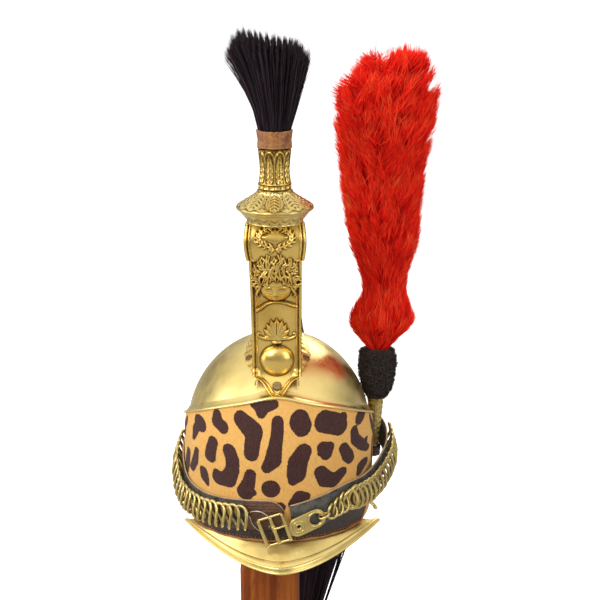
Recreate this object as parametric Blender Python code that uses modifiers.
# Dragoon helmet with mane, tuft and plume, on a plain wooden stand.
# Metres, +Z up. The helmet faces -Y, and the plume stands on its +X side.
# The origin is on the floor, under the middle of the helmet.

import math

import bmesh
import bpy
from mathutils import Matrix, Vector

# Clearances between touching pieces
GAP = 0.0003
CURVED_GAP = 0.0008

# Skull: an ellipsoid above the spring line, a slightly tapered wall below it
SKULL_WIDTH = 0.196
SKULL_LENGTH = 0.226
SKULL_SPRING = 0.088
SKULL_CROWN = 0.191
SKULL_TAPER = 0.02
SKULL_BELOW_RIM = 0.004
SKULL_WALL = 0.0014
COLUMNS = 30
SHELL_WALL_ROWS = (0.35, 0.7, 1.0)
SHELL_DOME_ROWS = (14, 28, 41, 54, 66, 78)

# Turban
TURBAN_WALL = 0.0022
TURBAN_TOP_FRONT = 0.151
TURBAN_TOP_BACK = 0.056
TURBAN_POINT = 0.003
TURBAN_ROWS = (0, 0.36, 0.56, 0.69, 0.8, 0.9, 1)
FRONT_JOINT = 0.011
BEAD_RADIUS = 0.0016

# Peak
PEAK_HALF_WIDTH = 0.103
PEAK_SHIFT = 0.004
PEAK_ROOT_Y = -0.047
PEAK_REACH = 0.097
PEAK_DROOP = 0.007
PEAK_WALL = 0.0013
PEAK_SPAN = math.radians(64)
PEAK_ROUNDNESS = 1.7
PEAK_BAND_LIFT = 0.0016
PEAK_COLUMNS = 22

# Neck guard
GUARD_START = math.radians(92)
GUARD_REACH = 0.024
GUARD_DROP = 0.046
GUARD_WALL = 0.0013
GUARD_COLUMNS = 18
REACH_SHARE_AT_ENDS = 0.25
DROP_SHARE_AT_ENDS = 0.18

# Crest and its front plate
CREST_WALL = 0.0012
CREST_FRONT_HALF = 0.0222
CREST_REAR_HALF = 0.011
CREST_TOP_SHARE = 0.78
CREST_EDGE_PINCH = 0.3
CREST_ROWS = (0, 0.06, 0.12, 0.18, 0.25, 0.34, 0.44, 0.56, 0.68, 0.8, 0.9, 0.95, 1)
CREST_STEPS = 10
PLATE_HALF = 0.0245
PLATE_TOP_HALF = 0.0288
PLATE_FOOT_Z = 0.158
PLATE_WING_Z = 0.174
PLATE_TOP_Z = 0.338
PLATE_FOOT_Y = -0.761 * SKULL_LENGTH / 2
PLATE_BOW = 0.030
PLATE_WALL = 0.0016
PLATE_POINT_SHARE = 0.16
PLATE_EDGE_SHARE = 0.16
PLATE_COLUMNS = (-1, -0.86, -0.66, -0.42, -0.2, 0, 0.2, 0.42, 0.66, 0.86, 1)
PILLOW_STEP = 0.0005
PILLOW_BULGE = 0.45
PILLOW_SHARE = 0.8
PILLOW_Z = PLATE_FOOT_Z + PILLOW_SHARE * (PLATE_TOP_Z - PLATE_FOOT_Z)
MASK_Z = 0.270
MASK_HEIGHT = 0.036
MASK_RELIEF = 0.009
MASK_WIDTH_SHARE = 0.92
MASK_HEIGHT_SHARE = 0.55
GRENADE_Z = 0.188
GRENADE_RADIUS = 0.0155
GRENADE_RELIEF = 0.0095
FLAME_Z = 0.229
FLAME_HALF_WIDTH = 0.0175
FLAME_HEIGHT = 0.024
FLAME_RELIEF = 0.0022
PLATE_RIDGE = 0.0011
FLANGE_WIDTH = 0.0105
FLANGE_WALL = 0.0016
FLANGE_FRONT_Y = -0.063
FLANGE_BACK_Y = 0.03
FLANGE_STEPS = 11
FLANGE_END_SHARE = 0.06
SCREW_RADIUS = 0.0048
SCREW_HEIGHT = 0.0022
SCREW_SIDES = 14
SCREW_TOP_SHARE = 0.8
SCREW_MARGIN = 0.0012
SCREW_PLACE = 0.7
SLOT_SHARE = 0.22

# Knob, tube and tuft stand on one axis
KNOB_Y = -0.956 * SKULL_LENGTH / 2
KNOB_HEIGHT = 0.030
KNOB_RADIUS = 0.0355
TUBE_HEIGHT = 0.037
TUBE_RADIUS = 0.0146
TUBE_WALL = 0.0016
TUFT_BAND_HEIGHT = 0.016
TUFT_BAND_RADIUS = 0.0165
TUFT_HEIGHT = 0.084
TUFT_HALF_WIDTH = 0.034
TUFT_LEAN = 0.006
TURNED_STEPS = 18

# Chin strap
STRAP_HEIGHT = 0.032
STRAP_WALL = 0.002
STRAP_STEPS = 22
STRAP_TIP_STEPS = 12
STRAP_TIP_SHARE = 0.08
RING_HEIGHT = 0.0225
RING_WIDTH = 0.0125
RING_WIRE = 0.0013
RING_PITCH = 0.0080
RING_TWIST = 0.0009
RING_DROP = 0.0045
RING_SIDES = 10
WIRE_SIDES = 5
SMALL_LINK = 0.62
LINK_GROWTH = 0.7
BOSS_RADIUS = 0.0145
BOSS_HEIGHT = 0.006
BOSS_TURN = 114
END_PLATE_LENGTH = 0.040
END_PLATE_HEIGHT = 0.021
END_PLATE_WALL = 0.0016
END_PLATE_LIFT = 0.0033
END_PLATE_TURN = 16.0
END_PLATE_Z = 0.0345
EYE_RADIUS = 0.0062
EYE_RIM = 0.0043
RIVET_HOLE_RADIUS = 0.0018
RIVET_HOLE_PLACE = -0.22
BUCKLE_LENGTH = 0.0275
BUCKLE_HEIGHT = 0.033
BUCKLE_BAR = 0.003
BUCKLE_WALL = 0.0026
BUCKLE_TURN = -1.2
BUCKLE_Z = 0.0305
BUCKLE_TILT = math.radians(19)

# Plume
PLUME_X = 0.1057
PLUME_Y = 0.030
PLUME_FOOT_Z = 0.040
HOLDER_RADIUS = 0.0070
HOLDER_HEIGHT = 0.012
CONE_HEIGHT = 0.058
CONE_FOOT_RADIUS = 0.0040
CONE_TOP_RADIUS = 0.0085
OLIVE_HEIGHT = 0.056
OLIVE_RADIUS = 0.0215
PLUME_HEIGHT = 0.327
PLUME_HALF_WIDTH = 0.055
PLUME_FLATNESS = 0.78
PLUME_LEAN = 0.009

# Mane
MANE_FALL = 0.457
MANE_HALF_WIDTH = 0.055
MANE_HALF_DEPTH = 0.018
MANE_SWING = 0.033

# Stand
RIM_HEIGHT = 0.40
BASE_SIDE = 0.27
BASE_HEIGHT = 0.028
BASE_BEVEL = 0.006
BASE_Y = 0.02
POST_X = -0.011
POST_Y = 0.004
POST_WIDTH = 0.066
POST_DEPTH = 0.046
POST_BELOW_RIM = 0.072
POST_BEVEL = 0.009
NECK_RADIUS = 0.016
HEAD_SHARE = 0.44
HEAD_SIDE = 0.022
HEAD_UPPER_SHARES = (0.7, 0.38)

# Strap routes: turn from the front in degrees, height of the middle line as a share of the spring
# height, and how far the strap stands off the turban as a share of the plume holder's diameter
STRAP_ROUTES = {
    "left": (
        {"turn": -120, "height": 0.73, "off": 0.0},
        {"turn": -104, "height": 0.66, "off": 0.0},
        {"turn": -88, "height": 0.55, "off": 0.04},
        {"turn": -70, "height": 0.40, "off": 0.05},
        {"turn": -50, "height": 0.385, "off": 0.03},
        {"turn": -34, "height": 0.42, "off": 0.0},
        {"turn": -18, "height": 0.465, "off": 0.0},
        {"turn": 4, "height": 0.505, "off": 0.0},
    ),
    "right": (
        {"turn": 122, "height": 0.78, "off": 0.75},
        {"turn": 106, "height": 0.73, "off": 1.13},
        {"turn": 91, "height": 0.66, "off": 0.98},
        {"turn": 75, "height": 0.57, "off": 0.52},
        {"turn": 58, "height": 0.51, "off": 0.15},
        {"turn": 42, "height": 0.53, "off": 0.0},
        {"turn": 26, "height": 0.49, "off": 0.0},
        {"turn": 8, "height": 0.42, "off": 0.0},
    ),
}
CHAIN_ENDS = {"left": (-102, -18), "right": (42, 104)}
CHAIN_GROOVE = 0.62

# Peak: reach from the root to the edge, and lift as a share of the band's
PEAK_SECTIONS = (
    {"reach": 0.00, "lift": 0.00},
    {"reach": 0.34, "lift": 0.00},
    {"reach": 0.62, "lift": 0.00},
    {"reach": 0.68, "lift": 1.00},
    {"reach": 0.94, "lift": 1.15},
    {"reach": 1.00, "lift": 0.20},
)

# Neck guard: reach and drop as shares of its own
GUARD_SECTIONS = (
    {"reach": 0.00, "drop": 0.00},
    {"reach": 0.30, "drop": 0.28},
    {"reach": 0.62, "drop": 0.68},
    {"reach": 0.90, "drop": 1.00},
    {"reach": 1.00, "drop": 0.98},
)

# Plate: height as a share of the plate, forward bow as a share of PLATE_BOW
PLATE_PROFILE = (
    {"height": 0.00, "bow": 0.00},
    {"height": 0.10, "bow": -0.42},
    {"height": 0.20, "bow": -0.45},
    {"height": 0.30, "bow": -0.38},
    {"height": 0.50, "bow": -0.05},
    {"height": 0.66, "bow": 0.38},
    {"height": 0.78, "bow": 0.78},
    {"height": 0.90, "bow": 0.98},
    {"height": 1.00, "bow": 0.75},
)

# Crest's top edge: place between front and rear, height as a share of the plate's top
CREST_TOP = (
    {"along": 0.00, "height": 0.990},
    {"along": 0.18, "height": 0.990},
    {"along": 0.36, "height": 0.965},
    {"along": 0.55, "height": 0.895},
    {"along": 0.75, "height": 0.765},
    {"along": 0.90, "height": 0.600},
    {"along": 1.00, "height": 0.420},
)
CREST_REAR_Y = 1.027 * SKULL_LENGTH / 2
CREST_REAR_FOOT_Y = 0.93 * SKULL_LENGTH / 2

# Profiles of the turned pieces: radius and height as shares of their own sizes
KNOB_PROFILE = (
    {"radius": 0.42, "height": 1.00},
    {"radius": 0.47, "height": 0.93},
    {"radius": 0.80, "height": 0.66},
    {"radius": 0.98, "height": 0.50},
    {"radius": 1.00, "height": 0.44},
    {"radius": 0.96, "height": 0.37},
    {"radius": 0.80, "height": 0.20},
    {"radius": 0.69, "height": 0.00},
)
TUBE_PROFILE = (
    {"radius": 1.05, "height": 1.00},
    {"radius": 1.00, "height": 0.92},
    {"radius": 0.96, "height": 0.55},
    {"radius": 0.98, "height": 0.22},
    {"radius": 1.10, "height": 0.16},
    {"radius": 1.12, "height": 0.08},
    {"radius": 1.04, "height": 0.00},
)

TUFT_BAND_PROFILE = (
    {"radius": 0.94, "height": 1.00},
    {"radius": 1.00, "height": 0.75},
    {"radius": 0.95, "height": 0.50},
    {"radius": 1.00, "height": 0.25},
    {"radius": 0.93, "height": 0.00},
)
BOSS_PROFILE = (
    {"radius": 0.35, "height": 1.00},
    {"radius": 0.60, "height": 0.86},
    {"radius": 0.85, "height": 0.50},
    {"radius": 1.00, "height": 0.25},
    {"radius": 1.00, "height": 0.00},
)
HOLDER_PROFILE = (
    {"radius": 1.00, "height": 1.00},
    {"radius": 1.00, "height": 0.10},
    {"radius": 0.70, "height": 0.00},
)
CONE_PROFILE = (
    {"radius": 1.00, "height": 1.00},
    {"radius": 0.97, "height": 0.93},
    {"radius": CONE_FOOT_RADIUS / CONE_TOP_RADIUS, "height": 0.00},
)
OLIVE_PROFILE = (
    {"radius": 0.45, "height": 1.00},
    {"radius": 0.85, "height": 0.94},
    {"radius": 1.00, "height": 0.74},
    {"radius": 0.97, "height": 0.50},
    {"radius": 0.82, "height": 0.26},
    {"radius": 0.64, "height": 0.06},
    {"radius": 0.50, "height": 0.00},
)

# Plume: height share, half width share, side sway as a share of the half width, whether locks end there
PLUME_SECTIONS = (
    {"height": 0.000, "width": 0.16, "sway": 0.00, "tips": False},
    {"height": 0.035, "width": 0.34, "sway": 0.00, "tips": True},
    {"height": 0.095, "width": 0.62, "sway": 0.03, "tips": True},
    {"height": 0.140, "width": 0.56, "sway": 0.05, "tips": False},
    {"height": 0.200, "width": 0.40, "sway": 0.06, "tips": True},
    {"height": 0.280, "width": 0.50, "sway": 0.03, "tips": False},
    {"height": 0.360, "width": 0.68, "sway": 0.00, "tips": True},
    {"height": 0.440, "width": 0.72, "sway": -0.03, "tips": False},
    {"height": 0.540, "width": 0.80, "sway": -0.06, "tips": True},
    {"height": 0.640, "width": 0.86, "sway": -0.08, "tips": False},
    {"height": 0.740, "width": 0.98, "sway": -0.06, "tips": True},
    {"height": 0.830, "width": 0.98, "sway": -0.05, "tips": False},
    {"height": 0.910, "width": 0.86, "sway": 0.02, "tips": True},
    {"height": 0.965, "width": 0.58, "sway": 0.12, "tips": False},
)
PLUME_LOCKS = 8
LOCK_DEPTH = 0.13
PLUME_TIP_RISE = 0.012

# Rings that close the plume's crown, at one height and sway
CROWN_SHARE = 0.975
CROWN_SWAY = 0.12
CROWN_LOCK_DEPTH = 0.1
PLUME_CROWN = (
    {"width": 0.42, "flip": True},
    {"width": 0.14, "flip": False},
)

# Tuft: height share, half width share
TUFT_SECTIONS = (
    {"height": 0.00, "width": 0.46},
    {"height": 0.28, "width": 0.58},
    {"height": 0.58, "width": 0.78},
    {"height": 0.84, "width": 0.96},
)
TUFT_LOCKS = 9
TUFT_LOCK_DEPTH = 0.05
TUFT_TIP_DEPTH = 0.04
TUFT_ROUNDNESS = 0.92

# Rings of ragged tips that close the tuft: width, height and rise as shares of its own sizes
TUFT_CROWN = (
    {"width": 0.94, "height": 0.955, "rise": 0.045, "flip": False},
    {"width": 0.62, "height": 0.930, "rise": 0.050, "flip": True},
    {"width": 0.28, "height": 0.950, "rise": 0.050, "flip": False},
)

# Mane along the crest's rear: place between the crest's front and rear, then shares of the half width
# and the half depth
MANE_ON_CREST = (
    {"along": 0.56, "width": 0.17, "depth": 0.35},
    {"along": 0.63, "width": 0.20, "depth": 0.46},
    {"along": 0.70, "width": 0.24, "depth": 0.56},
    {"along": 0.78, "width": 0.29, "depth": 0.65},
    {"along": 0.86, "width": 0.34, "depth": 0.73},
    {"along": 0.93, "width": 0.40, "depth": 0.79},
    {"along": 1.00, "width": 0.46, "depth": 0.84},
)

# Mane below the crest: fall as a share of the fall's length, then shares of the swing, half width and
# half depth, and the place behind the helmet as a share of its length
MANE_BELOW_CREST = (
    {"fall": 0.10, "swing": 0.10, "width": 0.62, "depth": 0.92, "back": 0.642},
    {"fall": 0.21, "swing": 0.34, "width": 0.80, "depth": 1.00, "back": 0.672},
    {"fall": 0.39, "swing": 0.76, "width": 0.98, "depth": 1.00, "back": 0.708},
    {"fall": 0.58, "swing": 1.00, "width": 1.00, "depth": 0.95, "back": 0.710},
    {"fall": 0.74, "swing": 0.82, "width": 0.72, "depth": 0.80, "back": 0.705},
    {"fall": 0.87, "swing": 0.70, "width": 0.46, "depth": 0.60, "back": 0.700},
    {"fall": 1.00, "swing": 0.62, "width": 0.16, "depth": 0.25, "back": 0.695},
)
MANE_LOCKS = 9
MANE_LOCK_DEPTH = 0.09


def clear_scene():
    for item in list(bpy.data.objects):
        bpy.data.objects.remove(item, do_unlink=True)


clear_scene()
PARTS = bpy.data.collections.new("dragoon_helmet")
CUTTERS = bpy.data.collections.new("cutters")
bpy.context.scene.collection.children.link(PARTS)
bpy.context.scene.collection.children.link(CUTTERS)
HELMET = bpy.data.objects.new("helmet", None)
HELMET.location = (0, 0, RIM_HEIGHT)
PARTS.objects.link(HELMET)


# Materials

def make_material(name, color, roughness, metallic):
    material = bpy.data.materials.new(name)
    material.use_nodes = True
    shader = material.node_tree.nodes["Principled BSDF"]
    shader.inputs["Base Color"].default_value = (*color, 1)
    shader.inputs["Roughness"].default_value = roughness
    shader.inputs["Metallic"].default_value = metallic
    return material


BRASS = ((0.72, 0.48, 0.17), 0.3, 1.0)
DARK_BRASS = ((0.42, 0.28, 0.11), 0.4, 1.0)
HIDE = ((0.73, 0.42, 0.13), 0.85, 0.0)
LEATHER = ((0.10, 0.09, 0.07), 0.6, 0.0)
HORSEHAIR = ((0.02, 0.015, 0.016), 0.5, 0.0)
RED_FEATHER = ((0.75, 0.03, 0.01), 0.8, 0.0)
CHENILLE = ((0.05, 0.02, 0.015), 0.95, 0.0)
OAK = ((0.36, 0.15, 0.05), 0.55, 0.0)


# Mesh helpers

def add_object(name, mesh, finish, parent=HELMET, smooth=True):
    item = bpy.data.objects.new(name, mesh)
    item.parent = parent
    mesh.materials.append(make_material(name, *finish))
    PARTS.objects.link(item)
    if smooth:
        mesh.shade_smooth()
        mesh.set_sharp_from_angle(angle=math.radians(35))
    return item


def mesh_from(verts, faces, name):
    mesh = bpy.data.meshes.new(name)
    mesh.from_pydata([tuple(v) for v in verts], [], faces)
    mesh.update()
    return mesh


def mesh_of(body, name):
    """Finished mesh with its faces outward."""
    bmesh.ops.recalc_face_normals(body, faces=body.faces)
    mesh = bpy.data.meshes.new(name)
    body.to_mesh(mesh)
    body.free()
    return mesh


def loft(rings, name):
    """Closed body through rings of equally many points, with flat ends."""
    count = len(rings[0])
    verts = [point for ring in rings for point in ring]
    faces = []
    for row in range(len(rings) - 1):
        for column in range(count):
            after = (column + 1) % count
            low, high = row * count, (row + 1) * count
            faces.append((low + column, low + after, high + after, high + column))
    faces.append(tuple(range(count)))
    faces.append(tuple(range(len(verts) - count, len(verts))))
    body = bmesh.new()
    body.from_mesh(mesh_from(verts, faces, name + "_draft"))
    return mesh_of(body, name)


def surface(rows, name, round_about=False, pole=None):
    """Open sheet through rows of points. Its faces point to the left of each row, seen along the rows."""
    count = len(rows[0])
    verts = [point for row in rows for point in row]
    spans = count if round_about else count - 1
    faces = []
    for row in range(len(rows) - 1):
        for column in range(spans):
            after = (column + 1) % count
            low, high = row * count, (row + 1) * count
            faces.append((low + column, low + after, high + after, high + column))
    if pole is not None:
        verts.append(pole)
        last = (len(rows) - 1) * count
        for column in range(spans):
            faces.append((last + column, last + (column + 1) % count, len(verts) - 1))
    return mesh_from(verts, faces, name)


def thicken(item, wall):
    """Gives a sheet its wall on the side away from its normals."""
    solid = item.modifiers.new("wall", "SOLIDIFY")
    solid.thickness = wall
    solid.offset = -1
    solid.use_even_offset = True


def closed_tube(body, centres, radius, sides):
    """Adds a closed round wire along a ring of points."""
    count = len(centres)
    middle = sum(centres, Vector()) / count
    rings = []
    for index, centre in enumerate(centres):
        tangent = (centres[(index + 1) % count] - centres[index - 1]).normalized()
        outward = centre - middle
        outward = (outward - tangent * outward.dot(tangent)).normalized()
        aside = tangent.cross(outward)
        ring = []
        for side in range(sides):
            turn = math.tau * side / sides
            offset = outward * math.cos(turn) + aside * math.sin(turn)
            ring.append(body.verts.new(centre + offset * radius))
        rings.append(ring)
    for index in range(count):
        here, there = rings[index], rings[(index + 1) % count]
        for side in range(sides):
            after = (side + 1) % sides
            body.faces.new((here[side], there[side], there[after], here[after]))


def interpolate(table, key, column, value):
    """Reads a column of a table at a value of its key column, smoothly between rows."""
    rows = sorted(table, key=lambda row: row[key])
    if value <= rows[0][key]:
        return rows[0][column]
    if value >= rows[-1][key]:
        return rows[-1][column]
    index = max(i for i in range(len(rows) - 1) if rows[i][key] <= value)
    near = [rows[max(0, min(len(rows) - 1, index + step))] for step in (-1, 0, 1, 2)]
    a, b = near[1], near[2]
    span = b[key] - a[key]
    share = (value - a[key]) / span
    slope_a = (b[column] - near[0][column]) / max(b[key] - near[0][key], 1e-9)
    slope_b = (near[3][column] - a[column]) / max(near[3][key] - a[key], 1e-9)
    low = a[column] * (1 + 2 * share) * (1 - share) ** 2
    high = b[column] * (3 - 2 * share) * share ** 2
    bend = slope_a * share * (1 - share) ** 2 - slope_b * share ** 2 * (1 - share)
    return low + high + bend * span


def profile_line(profile, radius, height, bore, name):
    """Outline to turn about Z, from top to bottom. A bore goes right through."""
    points = [(row["radius"] * radius, row["height"] * height) for row in profile]
    if bore:
        points = [(bore, height), *points, (bore, 0)]
    else:
        points = [(0, height), *points, (0, 0)]
    edges = [(i, i + 1) for i in range(len(points) - 1)]
    if bore:
        edges.append((len(points) - 1, 0))
    mesh = bpy.data.meshes.new(name)
    mesh.from_pydata([(x, 0, z) for x, z in points], edges, [])
    return mesh


def add_turned(name, profile, radius, height, finish, place, bore=0.0, steps=TURNED_STEPS):
    mesh = profile_line(profile, radius, height, bore, name)
    item = add_object(name, mesh, finish, smooth=False)
    item.location = place
    screw = item.modifiers.new("turn", "SCREW")
    screw.axis = "Z"
    screw.steps = steps
    screw.render_steps = steps
    screw.use_merge_vertices = True
    screw.merge_threshold = 0.00001
    return item


# The helmet's form

def skull_scale(z):
    if z >= SKULL_SPRING:
        rise = (z - SKULL_SPRING) / (SKULL_CROWN - SKULL_SPRING)
        return math.sqrt(max(0.0, 1 - rise * rise))
    return 1 - SKULL_TAPER * ((SKULL_SPRING - z) / SKULL_SPRING) ** 2


def skull_point(turn, z, off=0.0):
    """Point on the skull at a turn from the front, moved out along its normal."""
    half_width, half_length = SKULL_WIDTH / 2, SKULL_LENGTH / 2
    scale = skull_scale(z)
    point = Vector((half_width * scale * math.sin(turn), -half_length * scale * math.cos(turn), z))
    rise = max(0.0, z - SKULL_SPRING) / (SKULL_CROWN - SKULL_SPRING) ** 2
    normal = Vector((point.x / half_width ** 2, point.y / half_length ** 2, rise)).normalized()
    return point + normal * off


def dome_z(x, y, off=0.0):
    """Height of the dome above a place in plan, on a surface that lies off the skull."""
    half_width, half_length = SKULL_WIDTH / 2 + off, SKULL_LENGTH / 2 + off
    inside = 1 - (x / half_width) ** 2 - (y / half_length) ** 2
    return SKULL_SPRING + (SKULL_CROWN - SKULL_SPRING + off) * math.sqrt(max(inside, 0.0))


def turban_top(turn):
    """The turban is high at the front and low at the back, with a slight point in front."""
    middle = (TURBAN_TOP_FRONT + TURBAN_TOP_BACK) / 2
    swing = (TURBAN_TOP_FRONT - TURBAN_TOP_BACK) / 2
    point = TURBAN_POINT * max(0.0, math.cos(turn)) ** 24
    return middle + swing * math.cos(turn) + point


def joint_z(turn):
    """Height where the peak's root meets the skull: raised in front, at the rim elsewhere."""
    return FRONT_JOINT * max(0.0, math.cos(turn)) ** 2


def turns(start, end, count):
    return [start + (end - start) * index / count for index in range(count + 1)]


def full_circle():
    return [math.tau * index / COLUMNS for index in range(COLUMNS)]


def build_shell():
    heights = [-SKULL_BELOW_RIM]
    heights += [SKULL_SPRING * share for share in SHELL_WALL_ROWS]
    dome = SKULL_CROWN - SKULL_SPRING
    heights += [SKULL_SPRING + dome * math.sin(math.radians(angle)) for angle in SHELL_DOME_ROWS]
    rows = [[skull_point(turn, z) for turn in full_circle()] for z in heights]
    mesh = surface(rows, "shell", round_about=True, pole=Vector((0, 0, SKULL_CROWN)))
    thicken(add_object("shell", mesh, BRASS), SKULL_WALL)


def build_turban():
    outer = CURVED_GAP + TURBAN_WALL
    rows = []
    for share in TURBAN_ROWS:
        row = []
        for turn in full_circle():
            low = joint_z(turn) + PEAK_WALL / 2 + GAP
            high = turban_top(turn) - BEAD_RADIUS
            row.append(skull_point(turn, low + (high - low) * share, outer))
        rows.append(row)
    mesh = surface(rows, "turban", round_about=True)
    thicken(add_object("turban", mesh, HIDE), TURBAN_WALL)


def build_turban_bead():
    centres = []
    for turn in full_circle():
        centres.append(skull_point(turn, turban_top(turn) + GAP, CURVED_GAP + BEAD_RADIUS))
    body = bmesh.new()
    closed_tube(body, centres, BEAD_RADIUS, WIRE_SIDES)
    add_object("turban_bead", mesh_of(body, "turban_bead"), BRASS)


def build_peak():
    """Sheet from the skull out to a blunt point, with a raised band along its edge."""
    half_wall = PEAK_WALL / 2
    rows = []
    for section in PEAK_SECTIONS:
        row = []
        for turn in turns(-PEAK_SPAN, PEAK_SPAN, PEAK_COLUMNS):
            across = turn / PEAK_SPAN
            root = skull_point(turn, joint_z(turn), GAP + half_wall)
            edge_x = PEAK_SHIFT + PEAK_HALF_WIDTH * math.sin(across * math.pi / 2)
            bulge = 1 - abs(math.sin(across * math.pi / 2)) ** PEAK_ROUNDNESS
            edge = Vector((edge_x, PEAK_ROOT_Y - PEAK_REACH * bulge, -PEAK_DROOP * bulge))
            point = root.lerp(edge, section["reach"])
            point.z += section["lift"] * PEAK_BAND_LIFT + half_wall
            row.append(point)
        rows.append(row)
    rows.reverse()
    mesh = surface(rows, "peak")
    thicken(add_object("peak", mesh, BRASS), PEAK_WALL)


def build_neck_guard():
    """Sheet that flares out and down behind, and runs out at its two ends."""
    rows = []
    span = math.tau - 2 * GUARD_START
    for section in GUARD_SECTIONS:
        row = []
        for turn in turns(GUARD_START, math.tau - GUARD_START, GUARD_COLUMNS):
            size = max(0.0, math.sin(math.pi * (turn - GUARD_START) / span)) ** 0.5
            root = skull_point(turn, 0, GUARD_WALL + CURVED_GAP)
            outward = Vector((math.sin(turn), -math.cos(turn), 0))
            reach = GUARD_REACH * section["reach"] * (REACH_SHARE_AT_ENDS + (1 - REACH_SHARE_AT_ENDS) * size)
            point = root + outward * reach
            point.z -= GUARD_DROP * section["drop"] * (DROP_SHARE_AT_ENDS + (1 - DROP_SHARE_AT_ENDS) * size)
            row.append(point)
        rows.append(row)
    rows.reverse()
    mesh = surface(rows, "neck_guard")
    thicken(add_object("neck_guard", mesh, BRASS), GUARD_WALL)


# Crest

def plate_y(z):
    """Front face of the crest plate at a height."""
    share = (z - PLATE_FOOT_Z) / (PLATE_TOP_Z - PLATE_FOOT_Z)
    return PLATE_FOOT_Y - PLATE_BOW * interpolate(PLATE_PROFILE, "height", "bow", share)


def plate_half(z):
    """Half width of the plate: an ogee foot below the wings, a wider pillow at the top."""
    if z < PLATE_WING_Z:
        share = (z - PLATE_FOOT_Z) / (PLATE_WING_Z - PLATE_FOOT_Z)
        ogee = 0.62 * share ** 0.6 + 0.38 * share ** 5
        return PLATE_HALF * (PLATE_POINT_SHARE + (1 - PLATE_POINT_SHARE) * ogee)
    if z > PILLOW_Z:
        share = (z - PILLOW_Z) / (PLATE_TOP_Z - PILLOW_Z)
        bulge = 1 - PILLOW_BULGE + PILLOW_BULGE * math.sin(math.pi * share)
        return PLATE_HALF + (PLATE_TOP_HALF - PLATE_HALF) * bulge
    return PLATE_HALF


def plate_relief(x, z):
    """How far the plate's front stands proud: ridges, pillow, mask, flame and grenade."""
    half = plate_half(z)
    lift = PLATE_RIDGE if abs(x) > half - PLATE_EDGE_SHARE * PLATE_HALF else 0.0
    lift += PLATE_RIDGE * (z > PILLOW_Z)
    ball = (GRENADE_RADIUS ** 2 - x ** 2 - (z - GRENADE_Z) ** 2) / GRENADE_RADIUS ** 2
    lift = max(lift, GRENADE_RELIEF * math.sqrt(max(0.0, ball)))
    flame = 1 - abs(x) / FLAME_HALF_WIDTH - abs(z - FLAME_Z) / FLAME_HEIGHT
    lift = max(lift, FLAME_RELIEF * min(1.0, 4 * max(0.0, flame)))
    mask = 1 - (x / (MASK_WIDTH_SHARE * PLATE_HALF)) ** 2
    mask -= ((z - MASK_Z) / (MASK_HEIGHT_SHARE * MASK_HEIGHT)) ** 2
    return max(lift, MASK_RELIEF * math.sqrt(max(0.0, mask)))


def build_crest_plate():
    bands = (
        (PLATE_FOOT_Z, PLATE_WING_Z, 5),
        (PLATE_WING_Z, PILLOW_Z, 18),
        (PILLOW_Z + PILLOW_STEP, PLATE_TOP_Z, 4),
    )
    heights = []
    for low, high, count in bands:
        heights += [low + (high - low) * step / count for step in range(count + 1)][len(heights) > 0:]
    rings = []
    for z in heights:
        across = [plate_half(z) * share for share in PLATE_COLUMNS]
        ahead = [Vector((x, plate_y(z) - plate_relief(x, z), z)) for x in across]
        behind = [Vector((x, plate_y(z) + PLATE_WALL, z)) for x in across]
        rings.append([*ahead, *reversed(behind)])
    add_object("crest_plate", loft(rings, "crest_plate"), BRASS)


def crest_top(along):
    front = plate_y(PLATE_TOP_Z) + PLATE_WALL + CURVED_GAP
    y = front + (CREST_REAR_Y - front) * along
    return Vector((0, y, PLATE_TOP_Z * interpolate(CREST_TOP, "along", "height", along)))


def crest_half(along):
    return CREST_FRONT_HALF + (CREST_REAR_HALF - CREST_FRONT_HALF) * along


def crest_foot(along):
    """Lower edge of the crest's side, on the dome."""
    foot_front = plate_y(PLATE_WING_Z) + PLATE_WALL + CURVED_GAP
    y = foot_front + (CREST_REAR_FOOT_Y - foot_front) * along
    return Vector((0, y, dome_z(crest_half(along), y, 2 * CURVED_GAP)))


def crest_side(along, up):
    """Point in the middle plane of the crest: foot to top edge, bent forward near the plate."""
    foot, top = crest_foot(along), crest_top(along)
    point = foot.lerp(top, up)
    straight = crest_foot(0).lerp(crest_top(0), up)
    ahead = plate_y(straight.z) + PLATE_WALL + 1.6 * CURVED_GAP
    point.y += (ahead - straight.y) * (1 - along) ** 4
    return point


def build_crest():
    """Channel over the dome: up one side, across the pinched top edge and down the other."""
    rows = []
    for step in range(CREST_STEPS + 1):
        along = step / CREST_STEPS
        row = []
        for side, order in ((-1, CREST_ROWS), (1, CREST_ROWS[::-1])):
            for up in order:
                point = crest_side(along, up)
                narrow = 1 - (1 - CREST_TOP_SHARE) * up - CREST_EDGE_PINCH * (up == 1)
                point.x = side * crest_half(along) * narrow
                row.append(point)
        rows.append(row)
    mesh = surface(rows, "crest")
    thicken(add_object("crest", mesh, BRASS), CREST_WALL)


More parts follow.
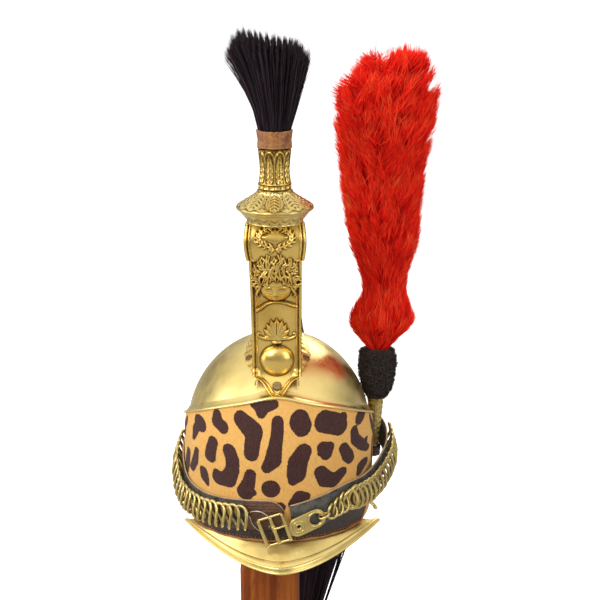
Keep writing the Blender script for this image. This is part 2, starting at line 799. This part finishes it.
def build_crest_flange(side, name):
    """Foot of the crest on the dome, round at the front and drawn out behind."""
    outer = CURVED_GAP + FLANGE_WALL
    foot_front, foot_rear = crest_foot(0).y, crest_foot(1).y
    rows = []
    for step in range(FLANGE_STEPS + 1):
        share = step / FLANGE_STEPS
        y = FLANGE_FRONT_Y + (FLANGE_BACK_Y - FLANGE_FRONT_Y) * share
        front_end = math.sin(math.pi * min(1.0, 3.2 * share + FLANGE_END_SHARE) / 2)
        back_end = math.sin(math.pi * (1 - share + FLANGE_END_SHARE) / 2) ** 0.6
        ends = front_end * back_end
        along = (y - foot_front) / (foot_rear - foot_front)
        inner_x = max(crest_half(max(0.0, along)), PLATE_HALF * (y < foot_front)) + 2 * GAP
        row = []
        for across in (0, 0.5, 1):
            x = inner_x + FLANGE_WIDTH * ends * across
            row.append(Vector((side * x, y, dome_z(x, y, outer))))
        rows.append(row if side < 0 else row[::-1])
    rows.reverse()
    mesh = surface(rows, name)
    thicken(add_object(name, mesh, BRASS), FLANGE_WALL)


def build_screw(name, place, direction):
    """Round screw head with a slot cut across it."""
    body = bmesh.new()
    bmesh.ops.create_cone(body, cap_ends=True, segments=SCREW_SIDES, radius1=SCREW_RADIUS,
                          radius2=SCREW_TOP_SHARE * SCREW_RADIUS, depth=SCREW_HEIGHT)
    item = add_object(name, mesh_of(body, name), DARK_BRASS)
    item.rotation_mode = "QUATERNION"
    item.rotation_quaternion = Vector((0, 0, 1)).rotation_difference(direction)
    item.location = place + direction * (SCREW_HEIGHT / 2 + GAP)
    cutter_body = bmesh.new()
    bmesh.ops.create_cube(cutter_body, size=1)
    cutter = bpy.data.objects.new(name + "_slot", mesh_of(cutter_body, name + "_slot"))
    cutter.scale = (3 * SCREW_RADIUS, SLOT_SHARE * SCREW_RADIUS, SCREW_HEIGHT)
    cutter.location = (0, 0, 0.75 * SCREW_HEIGHT)
    cutter.parent = item
    cutter.hide_render = True
    cutter.display_type = "WIRE"
    CUTTERS.objects.link(cutter)
    cut = item.modifiers.new("slot", "BOOLEAN")
    cut.operation = "DIFFERENCE"
    cut.object = cutter


def build_screws():
    z = PLATE_FOOT_Z + 0.45 * (PLATE_WING_Z - PLATE_FOOT_Z)
    slope = (plate_y(z + SCREW_RADIUS) - plate_y(z - SCREW_RADIUS)) / (2 * SCREW_RADIUS)
    facing = Vector((0, -1, slope)).normalized()
    build_screw("plate_screw", Vector((0, plate_y(z), z)) + facing * 2 * GAP, facing)
    for side, name in ((-1, "flange_screw_left"), (1, "flange_screw_right")):
        x = CREST_FRONT_HALF + SCREW_RADIUS + SCREW_MARGIN
        y = SCREW_PLACE * FLANGE_FRONT_Y
        top = dome_z(x, y, CURVED_GAP + FLANGE_WALL)
        lean = Vector((side * x / (SKULL_WIDTH / 2) ** 2, y / (SKULL_LENGTH / 2) ** 2, 0))
        lean.z = (top - SKULL_SPRING) / (SKULL_CROWN - SKULL_SPRING) ** 2
        build_screw(name, Vector((side * x, y, top)), lean.normalized())


# Knob, tube and tuft

def hair_ring(centre, half_width, half_depth, locks, depth, flip, rise=0.0):
    """Ring of points with a ridge for each lock, and a groove between locks."""
    ring = []
    count = 2 * locks
    for index in range(count):
        turn = math.tau * index / count
        ridge = (index % 2 == 0) != flip
        size = 1 + (depth if ridge else -depth)
        lift = rise if ridge else -rise
        across, behind = half_width * size * math.cos(turn), half_depth * size * math.sin(turn)
        ring.append(centre + Vector((across, behind, lift)))
    return ring


def build_knob_and_tuft():
    knob_foot = PLATE_TOP_Z + GAP
    add_turned("knob", KNOB_PROFILE, KNOB_RADIUS, KNOB_HEIGHT, BRASS, (0, KNOB_Y, knob_foot))
    tube_foot = knob_foot + KNOB_HEIGHT + GAP
    add_turned("tuft_socket", TUBE_PROFILE, TUBE_RADIUS, TUBE_HEIGHT, BRASS, (0, KNOB_Y, tube_foot),
               bore=TUBE_RADIUS * 0.86 - TUBE_WALL)
    band_foot = tube_foot + TUBE_HEIGHT + GAP
    add_turned("tuft_band", TUFT_BAND_PROFILE, TUFT_BAND_RADIUS, TUFT_BAND_HEIGHT, LEATHER,
               (0, KNOB_Y, band_foot))
    foot = band_foot + TUFT_BAND_HEIGHT + GAP
    rings = []
    for row in TUFT_SECTIONS:
        lean = -TUFT_LEAN * row["height"]
        centre = Vector((lean, KNOB_Y, foot + TUFT_HEIGHT * row["height"]))
        half = TUFT_HALF_WIDTH * row["width"]
        depth = TUFT_LOCK_DEPTH * (row["height"] > 0)
        rings.append(hair_ring(centre, half, TUFT_ROUNDNESS * half, TUFT_LOCKS, depth, False))
    for row in TUFT_CROWN:
        centre = Vector((-TUFT_LEAN, KNOB_Y, foot + TUFT_HEIGHT * row["height"]))
        half = TUFT_HALF_WIDTH * row["width"]
        rise = row["rise"] * TUFT_HEIGHT
        rings.append(hair_ring(centre, half, half, TUFT_LOCKS, TUFT_TIP_DEPTH, row["flip"], rise))
    add_object("tuft", loft(rings, "tuft"), HORSEHAIR)


# Chin strap

def strap_point(side, turn_deg):
    """Point on the strap's inner face along its middle line."""
    route = STRAP_ROUTES[side]
    turn = math.radians(turn_deg)
    z = SKULL_SPRING * interpolate(route, "turn", "height", turn_deg)
    off = CURVED_GAP + TURBAN_WALL + CURVED_GAP
    off += 2 * HOLDER_RADIUS * interpolate(route, "turn", "off", turn_deg)
    return skull_point(turn, min(z, SKULL_SPRING), off)


def strap_frame(side, turn_deg, tilt=0.0):
    """Place on the strap's outer face with axes along, up and outward."""
    step = 1.5
    here = strap_point(side, turn_deg)
    along = (strap_point(side, turn_deg + step) - strap_point(side, turn_deg - step)).normalized()
    outward = Vector((math.sin(math.radians(turn_deg)), -math.cos(math.radians(turn_deg)), 0))
    outward = (outward - along * outward.dot(along)).normalized()
    up = outward.cross(along)
    frame = Matrix((along, up, outward)).transposed().to_4x4()
    frame.translation = here + outward * STRAP_WALL
    return frame @ Matrix.Rotation(tilt, 4, "Z")


def strap_ends(side):
    route = [row["turn"] for row in STRAP_ROUTES[side]]
    return min(route), max(route)


def build_strap(side):
    """Leather that follows its route. The left one ends in a rounded tip under the buckle."""
    start, end = strap_ends(side)
    rows = []
    for index in range(STRAP_STEPS + 1):
        turn_deg = start + (end - start) * index / STRAP_STEPS
        frame = strap_frame(side, turn_deg)
        half = STRAP_HEIGHT / 2
        if side == "left":
            to_tip = (STRAP_STEPS - index) / STRAP_STEPS * STRAP_TIP_STEPS
            half *= math.sqrt(max(STRAP_TIP_SHARE, 1 - max(0.0, 1 - to_tip) ** 2))
        rows.append([frame @ Vector((0, half * share, 0)) for share in (1, 0, -1)])
    mesh = surface(rows, "strap_" + side)
    thicken(add_object("strap_" + side, mesh, LEATHER), STRAP_WALL)


def build_chain(side):
    """The links lie so close that they make a thick band: one rib for each link, and grooves between."""
    start, end = CHAIN_ENDS[side]
    places = [strap_point(side, turn_deg) for turn_deg in turns(start, end, COLUMNS)]
    length = sum((after - before).length for before, after in zip(places, places[1:]))
    count = 2 * round(length / RING_PITCH)
    rings = []
    for index in range(count + 1):
        frame = strap_frame(side, start + (end - start) * index / count)
        rib = 1.0 if index % 2 else CHAIN_GROOVE
        half = RING_HEIGHT / 2 * (0.9 + 0.1 * rib)
        thick = 2 * (RING_WIRE + RING_TWIST) * rib
        section = ((-half, 0), (-half, 0.6 * thick), (-0.7 * half, thick),
                   (0.7 * half, thick), (half, 0.6 * thick), (half, 0))
        rings.append([frame @ Vector((0, up - RING_DROP, out + CURVED_GAP)) for up, out in section])
    name = "chain_" + side
    add_object(name, loft(rings, name), BRASS)


def ring_points(frame, height, width):
    """A twisted oval link: in front at the upper right and the lower left, behind at the other two."""
    points = []
    for index in range(RING_SIDES):
        turn = math.tau * (index + 0.5) / RING_SIDES
        points.append(frame @ Vector((
            width / 2 * math.cos(turn),
            height / 2 * math.sin(turn),
            RING_TWIST * math.sin(2 * turn),
        )))
    return points


def axes_frame(along, facing):
    """Axes from a direction along and another that is turned square to it."""
    outward = (facing - along * along.dot(facing)).normalized()
    return Matrix((along, outward.cross(along), outward)).transposed().to_4x4()


def hardware_frame(turn_deg, height, tilt):
    """Place on the front of the strap, at its own height and tilt."""
    turn = math.radians(turn_deg)
    off = CURVED_GAP + TURBAN_WALL + CURVED_GAP + STRAP_WALL
    outward = Vector((math.sin(turn), -math.cos(turn), 0))
    frame = axes_frame(Vector((math.cos(turn), math.sin(turn), 0)), outward)
    frame.translation = skull_point(turn, height, off)
    return frame @ Matrix.Rotation(tilt, 4, "Z")


def end_plate_frame():
    frame = hardware_frame(END_PLATE_TURN, END_PLATE_Z, BUCKLE_TILT)
    return frame @ Matrix.Translation((0, 0, END_PLATE_LIFT))


def eye_loop(plate, towards):
    """Loop that stands across the end plate and passes through its eye, and its far end."""
    eye = plate @ Vector((END_PLATE_LENGTH / 2 - EYE_RIM - EYE_RADIUS, 0, 0))
    facing = plate.col[2].xyz
    aim = towards - eye
    along = (aim - facing * aim.dot(facing)).normalized()
    frame = axes_frame(along, facing)
    frame.translation = eye + along * (EYE_RADIUS + EYE_RIM / 2)
    half_length = 1.1 * (EYE_RIM / 2 + RING_WIRE + 2 * GAP)
    half_height = 1.25 * (END_PLATE_WALL / 2 + RING_WIRE + 2 * GAP)
    points = []
    for index in range(RING_SIDES):
        turn = math.tau * index / RING_SIDES
        points.append(frame @ Vector((half_length * math.cos(turn), 0, half_height * math.sin(turn))))
    return points, points[0]


def end_link_rings():
    """The loop in the eye, then small links that grow towards the right chain."""
    first_place = strap_frame("right", CHAIN_ENDS["right"][0])
    chain_end = first_place @ Vector((0, -RING_DROP, RING_WIRE + RING_TWIST))
    plate = end_plate_frame()
    loop, far_end = eye_loop(plate, chain_end)
    along = (chain_end - far_end).normalized()
    frame = axes_frame(along, plate.col[2].xyz)
    half = RING_WIDTH / 2 * math.cos(math.pi / RING_SIDES)
    first = half - RING_WIRE / 3
    last = (chain_end - far_end).length - half - RING_WIRE - 2 * CURVED_GAP
    count = max(1, round((last - first) / RING_PITCH))
    rings = [loop]
    for number in range(count + 1):
        share = number / count
        frame.translation = far_end + along * (first + (last - first) * share)
        height = RING_HEIGHT * (SMALL_LINK + (1 - SMALL_LINK) * LINK_GROWTH * share)
        rings.append(ring_points(frame, height, RING_WIDTH))
    return rings


def wire_mesh(rings, name):
    body = bmesh.new()
    for ring in rings:
        closed_tube(body, ring, RING_WIRE, WIRE_SIDES)
    return mesh_of(body, name)


def build_end_links():
    """Every second link is one mesh and the links between are another. A union fuses them into one body."""
    rings = end_link_rings()
    item = add_object("end_links", wire_mesh(rings[0::2], "end_links"), BRASS)
    others = bpy.data.objects.new("end_links_others", wire_mesh(rings[1::2], "end_links_others"))
    others.parent = HELMET
    others.hide_render = True
    others.display_type = "WIRE"
    CUTTERS.objects.link(others)
    union = item.modifiers.new("join", "BOOLEAN")
    union.operation = "UNION"
    union.object = others


def build_bosses():
    for side, turn_deg in (("left", -BOSS_TURN), ("right", BOSS_TURN)):
        item = add_turned("boss_" + side, BOSS_PROFILE, BOSS_RADIUS, BOSS_HEIGHT, BRASS, (0, 0, 0))
        item.matrix_local = strap_frame(side, turn_deg) @ Matrix.Translation((0, 0, CURVED_GAP))


def rounded_outline(length, height, ends, steps=8):
    """Outline of a bar with round ends: ends gives the end radius as a share of half the height."""
    points = []
    for side in (1, -1):
        radius = height / 2 * ends
        for index in range(steps + 1):
            turn = math.pi * (index / steps - 0.5)
            corner = Vector((length / 2 - radius, 0, 0)) * side
            stretch = Vector((radius * math.cos(turn), height / 2 * math.sin(turn), 0)) * side
            points.append(corner + stretch)
    return points


def circle_outline(x, radius, steps=12):
    turns_round = [math.tau * index / steps for index in range(steps)]
    return [Vector((x + radius * math.cos(turn), radius * math.sin(turn), 0)) for turn in turns_round]


def flat_cut(name, outlines, wall, frame, finish):
    """Flat outline with holes, as thick as its wall."""
    curve = bpy.data.curves.new(name, "CURVE")
    curve.dimensions = "2D"
    curve.fill_mode = "BOTH"
    curve.extrude = wall / 2
    for outline in outlines:
        spline = curve.splines.new("POLY")
        spline.points.add(len(outline) - 1)
        for point, place in zip(spline.points, outline):
            point.co = (*place, 1)
        spline.use_cyclic_u = True
    item = bpy.data.objects.new(name, curve)
    item.parent = HELMET
    item.matrix_local = frame
    curve.materials.append(make_material(name, *finish))
    PARTS.objects.link(item)
    return item


def rectangle(x, width, height):
    corners = ((-1, -1), (1, -1), (1, 1), (-1, 1))
    return [Vector((x + sx * width / 2, sy * height / 2, 0)) for sx, sy in corners]


def build_end_plate():
    outline = rounded_outline(END_PLATE_LENGTH, END_PLATE_HEIGHT, 1.0)
    eye = circle_outline(END_PLATE_LENGTH / 2 - EYE_RIM - EYE_RADIUS, EYE_RADIUS)
    rivet = circle_outline(RIVET_HOLE_PLACE * END_PLATE_LENGTH, RIVET_HOLE_RADIUS, 8)
    flat_cut("end_plate", (outline, eye, rivet), END_PLATE_WALL, end_plate_frame(), BRASS)


def build_buckle():
    window = (BUCKLE_LENGTH - 3 * BUCKLE_BAR) / 2
    middle = (window + BUCKLE_BAR) / 2
    height = BUCKLE_HEIGHT - 2 * BUCKLE_BAR
    outlines = [rectangle(0, BUCKLE_LENGTH, BUCKLE_HEIGHT)]
    outlines += [rectangle(x, window, height) for x in (-middle, middle)]
    frame = hardware_frame(BUCKLE_TURN, BUCKLE_Z, BUCKLE_TILT)
    lift = END_PLATE_LIFT + END_PLATE_WALL / 2 + BUCKLE_WALL / 2 + 2 * GAP
    flat_cut("buckle", outlines, BUCKLE_WALL, frame @ Matrix.Translation((0, 0, lift)), BRASS)


# Plume

def plume_place(z):
    """Point on the plume's leaning axis."""
    rise = (z - PLUME_FOOT_Z) / (HOLDER_HEIGHT + CONE_HEIGHT + OLIVE_HEIGHT + PLUME_HEIGHT)
    return Vector((PLUME_X + PLUME_LEAN * rise, PLUME_Y, z))


def build_plume():
    """Holder, cone and olive stand on one leaning axis, with the feathers above them."""
    add_turned("plume_holder", HOLDER_PROFILE, HOLDER_RADIUS, HOLDER_HEIGHT, LEATHER,
               plume_place(PLUME_FOOT_Z), steps=16)
    cone_foot = PLUME_FOOT_Z + HOLDER_HEIGHT + GAP
    add_turned("plume_cone", CONE_PROFILE, CONE_TOP_RADIUS, CONE_HEIGHT, DARK_BRASS, plume_place(cone_foot))
    olive_foot = cone_foot + CONE_HEIGHT + GAP
    add_turned("plume_olive", OLIVE_PROFILE, OLIVE_RADIUS, OLIVE_HEIGHT, CHENILLE,
               plume_place(olive_foot), steps=20)
    foot = olive_foot + OLIVE_HEIGHT + GAP
    rings = []
    for number, row in enumerate(PLUME_SECTIONS):
        centre = plume_place(foot + PLUME_HEIGHT * row["height"])
        centre.x += PLUME_HALF_WIDTH * row["sway"]
        half = PLUME_HALF_WIDTH * row["width"]
        depth = LOCK_DEPTH if row["tips"] else 0.35 * LOCK_DEPTH
        rise = PLUME_TIP_RISE * PLUME_HEIGHT * row["tips"] * (row["height"] > 0.05)
        flip = number % 4 > 1
        rings.append(hair_ring(centre, half, half * PLUME_FLATNESS, PLUME_LOCKS, depth, flip, rise))
    for row in PLUME_CROWN:
        centre = plume_place(foot + CROWN_SHARE * PLUME_HEIGHT)
        centre.x += CROWN_SWAY * PLUME_HALF_WIDTH
        half = PLUME_HALF_WIDTH * row["width"]
        rise = PLUME_TIP_RISE * PLUME_HEIGHT
        rings.append(hair_ring(centre, half, half, PLUME_LOCKS, CROWN_LOCK_DEPTH, row["flip"], rise))
    add_object("plume", loft(rings, "plume"), RED_FEATHER)


# Mane

def mane_root(row):
    """Middle of the mane at a place along the crest: it lies on the crest's top edge."""
    along = row["along"]
    step = 0.04
    slope = crest_top(along) - crest_top(along - step)
    outward = Vector((0, -slope.z, slope.y)).normalized()
    half = MANE_HALF_DEPTH * row["depth"] * (1 + MANE_LOCK_DEPTH)
    return crest_top(along) + outward * (half + 1.5 * CURVED_GAP)


def build_mane():
    """Locks that lie on the crest's rear edge and fall behind the helmet."""
    places = [mane_root(row) for row in MANE_ON_CREST]
    for row in MANE_BELOW_CREST:
        z = crest_top(1).z - MANE_FALL * row["fall"]
        places.append(Vector((MANE_SWING * row["swing"], SKULL_LENGTH * row["back"], z)))
    rings = []
    for index, row in enumerate((*MANE_ON_CREST, *MANE_BELOW_CREST)):
        before, after = places[max(0, index - 1)], places[min(len(places) - 1, index + 1)]
        thick = (after - before).cross(Vector((1, 0, 0))).normalized()
        half = MANE_HALF_WIDTH * row["width"]
        depth = MANE_HALF_DEPTH * row["depth"]
        ring = []
        for step in range(2 * MANE_LOCKS):
            turn = math.tau * step / (2 * MANE_LOCKS)
            size = 1 + (MANE_LOCK_DEPTH if step % 2 else -MANE_LOCK_DEPTH)
            across = Vector((half * math.cos(turn) * size, 0, 0))
            ring.append(places[index] + across + thick * (depth * math.sin(turn) * size))
        rings.append(ring)
    add_object("mane", loft(rings, "mane"), HORSEHAIR)


# Stand

def add_box(name, size, place, bevel, finish):
    body = bmesh.new()
    bmesh.ops.create_cube(body, size=1)
    bmesh.ops.scale(body, vec=size, verts=body.verts)
    item = add_object(name, mesh_of(body, name), finish, None)
    item.location = place
    soft = item.modifiers.new("round", "BEVEL")
    soft.width = bevel
    soft.segments = 3
    return item


def build_stand():
    """Base and post, with a neck and a rounded head that the dome rests over."""
    base_size = (BASE_SIDE, BASE_SIDE, BASE_HEIGHT)
    add_box("stand_base", base_size, (0, BASE_Y, BASE_HEIGHT / 2), BASE_BEVEL, OAK)
    post_foot = BASE_HEIGHT + GAP
    post_top = RIM_HEIGHT - POST_BELOW_RIM
    add_box("stand_post", (POST_WIDTH, POST_DEPTH, post_top - post_foot),
            (POST_X, POST_Y, (post_top + post_foot) / 2), POST_BEVEL, OAK)
    inner = -SKULL_WALL - 1.5 * CURVED_GAP
    rings = []
    low = -POST_BELOW_RIM + GAP
    block_low = dome_z(HEAD_SHARE * SKULL_WIDTH / 2, 0, inner) - HEAD_SIDE
    for radius, z in ((NECK_RADIUS, low), (NECK_RADIUS, block_low)):
        rings.append([Vector((radius * math.sin(t), -radius * math.cos(t), z)) for t in full_circle()])
    upper = [(part * HEAD_SHARE, False) for part in HEAD_UPPER_SHARES]
    for share, side in ((HEAD_SHARE, True), (HEAD_SHARE, False), *upper):
        ring = []
        for turn in full_circle():
            x = share * SKULL_WIDTH / 2 * math.sin(turn)
            y = -share * SKULL_LENGTH / 2 * math.cos(turn)
            ring.append(Vector((x, y, block_low if side else dome_z(x, y, inner))))
        rings.append(ring)
    add_object("stand_head", loft(rings, "stand_head"), OAK)


def main():
    build_shell()
    build_turban()
    build_turban_bead()
    build_peak()
    build_neck_guard()
    build_crest_plate()
    build_crest()
    build_crest_flange(-1, "crest_flange_left")
    build_crest_flange(1, "crest_flange_right")
    build_screws()
    build_knob_and_tuft()
    for side in ("left", "right"):
        build_strap(side)
        build_chain(side)
    build_bosses()
    build_end_links()
    build_end_plate()
    build_buckle()
    build_plume()
    build_mane()
    build_stand()


main()
